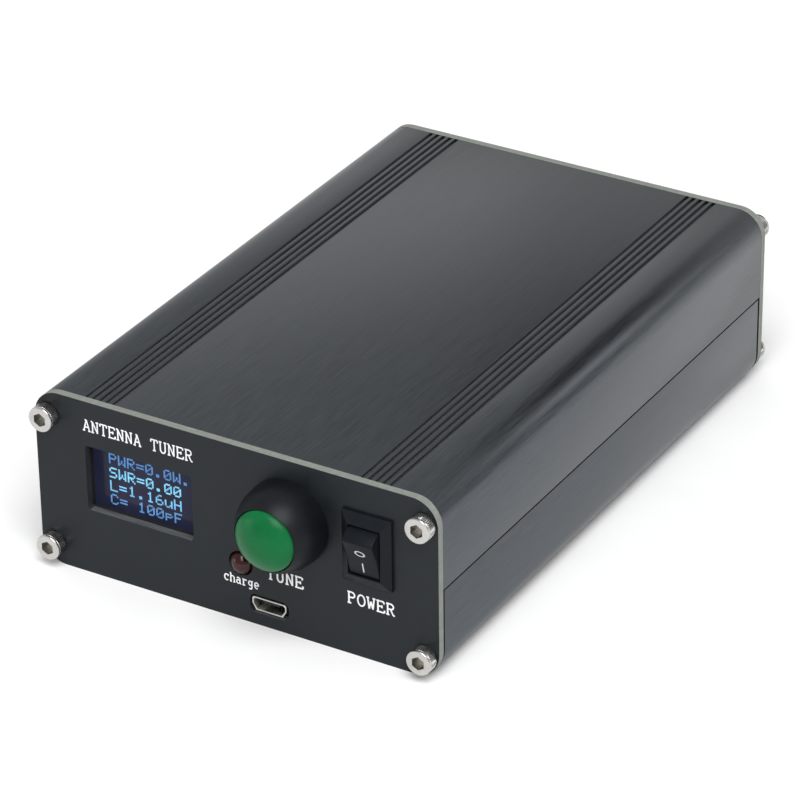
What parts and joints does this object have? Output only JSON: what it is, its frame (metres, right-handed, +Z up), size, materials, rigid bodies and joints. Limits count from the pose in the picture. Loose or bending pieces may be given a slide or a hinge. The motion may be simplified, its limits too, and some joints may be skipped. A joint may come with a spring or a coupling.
{
  "type": "antenna tuner",
  "caption": "Small split-case antenna tuner with a data display, a domed tune button, a rocker switch, a charging socket and two coaxial sockets on the back.",
  "frame": {"origin": "on the underside, at the middle of the case", "axes": "+X to the right along the front panel, the front panel faces -Y and the sockets leave along +Y, +Z up"},
  "size_m": [0.088, 0.1596, 0.0377],
  "materials": {
    "case_black": "brushed, black anodised",
    "panel_black": "satin black solder mask over glass-fibre board",
    "screw_steel": "zinc plated",
    "foam_black": "closed-cell foam",
    "display_glass": "polished glass over a lit panel",
    "board_blue": "satin solder mask",
    "header_black": "moulded",
    "button_black": "moulded, soft sheen",
    "button_green": "moulded, satin",
    "spring_steel": "drawn wire",
    "contact_copper": "stamped",
    "nut_nickel": "nickel plated",
    "blade_tin": "tin plated",
    "switch_black": "moulded, fine texture",
    "rocker_black": "moulded, soft sheen",
    "lens_red": "tinted clear",
    "shell_nickel": "nickel plated",
    "cell_silver": "foil pouch",
    "board_green": "satin solder mask",
    "chip_black": "moulded",
    "ferrite_dark": "sintered",
    "relay_black": "moulded",
    "ferrite_red": "coated core wound with enamelled wire",
    "socket_nickel": "nickel plated",
    "insulator_white": "moulded",
    "contact_brass": "turned",
    "backing_steel": "zinc plated"
  },
  "bodies": {
    "case": {"top_cover": "case_black", "bottom_cover": "case_black", "front_panel": "panel_black", "rear_panel": "panel_black", "front_screw_1": "screw_steel", "front_screw_2": "screw_steel", "front_screw_3": "screw_steel", "front_screw_4": "screw_steel", "rear_screw_1": "screw_steel", "rear_screw_2": "screw_steel", "rear_screw_3": "screw_steel", "rear_screw_4": "screw_steel", "display_gasket": "foam_black", "display_glass": "display_glass", "display_board": "board_blue", "display_header": "header_black", "tune_button_body": "button_black", "tune_button_spring": "spring_steel", "tune_button_nut": "nut_nickel", "tune_button_blade_1": "blade_tin", "tune_button_blade_2": "blade_tin", "power_switch_body": "switch_black", "power_switch_blade_1": "blade_tin", "power_switch_blade_2": "blade_tin", "charge_light": "lens_red", "charge_board": "board_blue", "charge_socket_shell": "shell_nickel", "charge_socket_tongue": "header_black", "battery": "cell_silver", "main_board": "board_green", "control_chip": "chip_black", "coupler_core": "ferrite_dark", "relay_left_1": "relay_black", "relay_left_2": "relay_black", "relay_left_3": "relay_black", "relay_right_1": "relay_black", "relay_right_2": "relay_black", "inductor_left_1": "ferrite_red", "inductor_left_2": "ferrite_red", "inductor_right_1": "ferrite_red", "inductor_right_2": "ferrite_red", "rf_input_body": "socket_nickel", "rf_input_insulator": "insulator_white", "rf_input_contact": "contact_brass", "rf_input_backing": "backing_steel", "rf_input_screw_1": "screw_steel", "rf_input_screw_2": "screw_steel", "rf_input_screw_3": "screw_steel", "rf_input_screw_4": "screw_steel", "rf_output_body": "socket_nickel", "rf_output_insulator": "insulator_white", "rf_output_contact": "contact_brass", "rf_output_backing": "backing_steel", "rf_output_screw_1": "screw_steel", "rf_output_screw_2": "screw_steel", "rf_output_screw_3": "screw_steel", "rf_output_screw_4": "screw_steel"},
    "button": {"tune_button_cap": "button_green", "tune_button_contact": "contact_copper"},
    "rocker": {"power_rocker": "rocker_black"}
  },
  "joints": [
    {"name": "tune_button_push", "type": "slide", "parent": "case", "child": "button", "axis": [0, 1, 0], "range_m": [0, 0.0018], "stiffness_N_per_m": 500, "springref_m": -0.0024, "deforming": ["tune_button_spring"]},
    {"name": "power_rocker_tilt", "type": "hinge", "parent": "case", "child": "rocker", "pos_m": [0.02922, -0.06643, 0.02395], "axis": [-1, 0, 0], "range_deg": [0, 38]}
  ]
}
